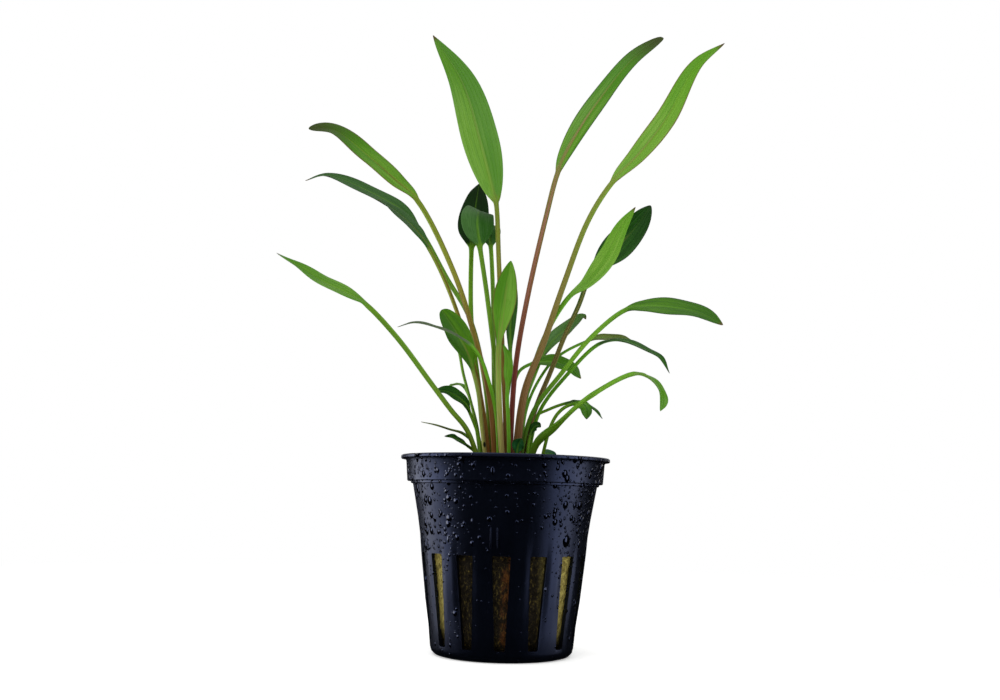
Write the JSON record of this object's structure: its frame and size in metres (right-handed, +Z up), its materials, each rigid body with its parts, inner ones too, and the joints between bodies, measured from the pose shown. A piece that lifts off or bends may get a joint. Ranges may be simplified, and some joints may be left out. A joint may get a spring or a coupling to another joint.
{
  "type": "potted cryptocoryne",
  "caption": "Small water plant with slim upright leaves on thin stalks, growing from rock wool in a round slotted plastic pot with a lip and collar.",
  "frame": {"origin": "middle of the pot's underside, on the surface it stands on", "axes": "+Z up along the pot's axis, -Y to the front, +X to the right seen from the front"},
  "size_m": [0.1162, 0.0642, 0.1716],
  "materials": {
    "pot_plastic": "satin blue-black moulded plastic, wet",
    "rock_wool": "matted olive-yellow mineral fibre",
    "crown": "rough brown rootstock",
    "leaf_bright": "fresh light green leaf with fine lengthwise veins, satin",
    "leaf_green": "mid green leaf, satin, brownish on margins and stalk",
    "leaf_dark": "deep blue-green leaf, satin",
    "leaf_pale": "thin pale olive leaf, satin"
  },
  "bodies": {
    "root": {"pot": "pot_plastic", "rock_wool": "rock_wool", "crown_left": "crown", "crown_right": "crown", "leaf_left_tallest": "leaf_bright", "leaf_left_high": "leaf_green", "leaf_left_arching": "leaf_dark", "leaf_left_arching_under": "leaf_green", "leaf_left_reaching": "leaf_green", "leaf_left_wisp": "leaf_pale", "leaf_left_short": "leaf_dark", "leaf_left_short_back": "leaf_green", "leaf_left_low": "leaf_dark", "leaf_left_low_edge": "leaf_green", "leaf_left_lowest": "leaf_green", "leaf_left_tiny": "leaf_dark", "leaf_middle_back": "leaf_dark", "leaf_middle_glossy": "leaf_green", "leaf_middle_behind": "leaf_dark", "leaf_front_bright": "leaf_bright", "leaf_front_shadow": "leaf_dark", "leaf_front_small": "leaf_bright", "leaf_right_tall": "leaf_bright", "leaf_right_tallest": "leaf_bright", "leaf_right_mid": "leaf_bright", "leaf_right_oval": "leaf_dark", "leaf_right_hooked": "leaf_green", "leaf_right_level": "leaf_bright", "leaf_right_pale": "leaf_pale", "leaf_right_dark_arch": "leaf_dark", "leaf_right_broad": "leaf_green", "leaf_right_low_arch": "leaf_bright", "leaf_right_low_thin": "leaf_dark", "leaf_right_hanging": "leaf_bright", "leaf_right_small_dark": "leaf_dark", "leaf_right_teal": "leaf_dark", "leaf_right_rim": "leaf_dark"}
  },
  "joints": []
}
